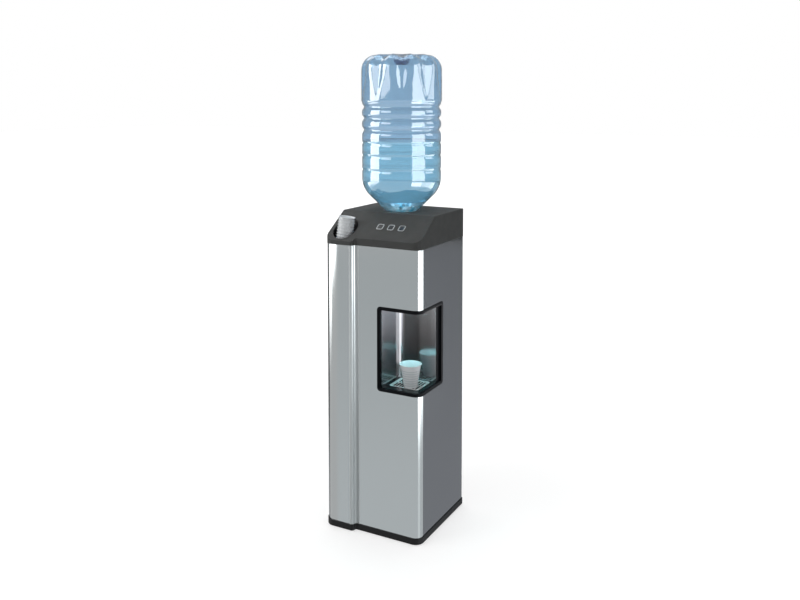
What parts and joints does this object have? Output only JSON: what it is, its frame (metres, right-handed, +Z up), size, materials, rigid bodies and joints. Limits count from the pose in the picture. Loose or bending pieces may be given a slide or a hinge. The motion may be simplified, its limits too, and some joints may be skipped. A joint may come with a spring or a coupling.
{
  "type": "water dispenser",
  "caption": "Free-standing bottled-water dispenser: grey cabinet with a cup column, a corner niche with nozzle and drip tray, push buttons on a sloping top and an upturned bottle.",
  "frame": {"origin": "on the floor under the middle of the dispenser", "axes": "+Z up, -Y towards the front with the niche and the cup column, +X towards the niche's open side"},
  "size_m": [0.35, 0.3581, 1.578],
  "materials": {
    "base_black": "satin",
    "foot_rubber": "matt",
    "casing_grey": "semi-gloss grey enamel",
    "zinc_sheet": "zinc-coated",
    "bezel_black": "glossy",
    "polished_steel": "polished",
    "tray_black": "satin",
    "grille_steel": "brushed",
    "cup_white": "smooth",
    "nozzle_white": "smooth",
    "lamp_clear": "frosted",
    "part_grey": "matt",
    "valve_grey": "matt",
    "cover_grey": "satin",
    "ring_pale": "smooth",
    "button_dark": "smooth",
    "board_green": "lacquered",
    "funnel_black": "satin",
    "probe_white": "smooth",
    "bottle_blue": "clear tinted",
    "cap_blue": "smooth",
    "tube_black": "matt",
    "spring_steel": "drawn",
    "tank_steel": "satin",
    "lid_white": "matt",
    "foam_cream": "matt foam",
    "copper": "dull copper",
    "heater_steel": "satin",
    "compressor_black": "semi-gloss",
    "condenser_black": "semi-gloss",
    "hose_clear": "smooth silicone",
    "panel_zinc": "matt",
    "inlet_black": "matt",
    "rocker_red": "smooth",
    "rocker_green": "smooth",
    "loom_black": "sleeved",
    "screw_steel": "zinc-plated"
  },
  "bodies": {
    "cabinet": {"base_plinth": "base_black", "rubber_feet": "foot_rubber", "casing_wrap": "casing_grey", "rear_panel": "panel_zinc", "frame_posts": "zinc_sheet", "tank_shelf": "zinc_sheet", "lower_shelf": "zinc_sheet", "niche_bezel": "bezel_black", "niche_liner": "polished_steel", "tray_support": "zinc_sheet", "nozzle": "nozzle_white", "niche_lamp": "lamp_clear", "outlet_manifold": "part_grey", "solenoid_valves": "valve_grey", "top_cover": "cover_grey", "button_carrier": "part_grey", "light_rings": "ring_pale", "control_board": "board_green", "bottle_funnel": "funnel_black", "feed_probe": "probe_white", "cup_tube": "tube_black", "cold_tank": "tank_steel", "tank_lid": "lid_white", "tank_insulation": "foam_cream", "evaporator_coil": "copper", "hot_tank": "tank_steel", "hot_tank_foam": "foam_cream", "heater_element": "heater_steel", "thermostats": "inlet_black", "compressor": "compressor_black", "compressor_mounts": "foot_rubber", "start_relay": "inlet_black", "condenser_tube": "condenser_black", "condenser_wires": "condenser_black", "condenser_brackets": "inlet_black", "refrigerant_pipes": "copper", "filter_drier": "copper", "cold_hose": "hose_clear", "room_hose": "hose_clear", "hot_hose": "hose_clear", "feed_hose": "hose_clear", "power_inlet": "inlet_black", "switch_housings": "inlet_black", "electric_box": "part_grey", "wiring_harness": "loom_black", "panel_screws": "screw_steel"},
    "bottle": {"bottle": "bottle_blue", "bottle_cap": "cap_blue"},
    "cup_column": {"cup_lift_plate": "part_grey", "cup_stack": "cup_white", "cup_spring": "spring_steel"},
    "top_cup": {"top_cup": "cup_white"},
    "drip_tray": {"drip_tray": "tray_black"},
    "drip_grille": {"drip_grille": "grille_steel"},
    "loose_cup": {"loose_cup": "cup_white"},
    "button_left": {"button_left": "button_dark"},
    "button_middle": {"button_middle": "button_dark"},
    "button_right": {"button_right": "button_dark"},
    "hot_rocker": {"hot_rocker": "rocker_red"},
    "cold_rocker": {"cold_rocker": "rocker_green"}
  },
  "joints": [
    {"name": "bottle_lift", "type": "slide", "parent": "cabinet", "child": "bottle", "axis": [0, 0, 1], "range_m": [0, 0.2]},
    {"name": "cup_column_push", "type": "slide", "parent": "cabinet", "child": "cup_column", "axis": [0, 0, 1], "range_m": [-0.05, 0], "stiffness_N_per_m": 120, "springref_m": 0.05, "deforming": ["cup_spring"]},
    {"name": "top_cup_lift", "type": "slide", "parent": "cup_column", "child": "top_cup", "axis": [0.1152, 0.0613, 0.9914], "range_m": [0, 0.12]},
    {"name": "drip_tray_lift", "type": "slide", "parent": "cabinet", "child": "drip_tray", "axis": [0, 0, 1], "range_m": [0, 0.04]},
    {"name": "drip_grille_lift", "type": "slide", "parent": "drip_tray", "child": "drip_grille", "axis": [0, 0, 1], "range_m": [0, 0.03]},
    {"name": "loose_cup_lift", "type": "slide", "parent": "drip_grille", "child": "loose_cup", "axis": [0, 0, 1], "range_m": [0, 0.06]},
    {"name": "button_left_press", "type": "slide", "parent": "cabinet", "child": "button_left", "axis": [0, 0.5534, -0.8329], "range_m": [0, 0.0015], "stiffness_N_per_m": 300, "springref_m": -0.001},
    {"name": "button_middle_press", "type": "slide", "parent": "cabinet", "child": "button_middle", "axis": [0, 0.5534, -0.8329], "range_m": [0, 0.0015], "stiffness_N_per_m": 300, "springref_m": -0.001},
    {"name": "button_right_press", "type": "slide", "parent": "cabinet", "child": "button_right", "axis": [0, 0.5534, -0.8329], "range_m": [0, 0.0015], "stiffness_N_per_m": 300, "springref_m": -0.001},
    {"name": "hot_rocker_tilt", "type": "hinge", "parent": "cabinet", "child": "hot_rocker", "pos_m": [0.02, 0.1417, 0.07], "axis": [1, 0, 0], "range_deg": [-16, 0]},
    {"name": "cold_rocker_tilt", "type": "hinge", "parent": "cabinet", "child": "cold_rocker", "pos_m": [0.052, 0.1417, 0.07], "axis": [1, 0, 0], "range_deg": [-16, 0]}
  ]
}
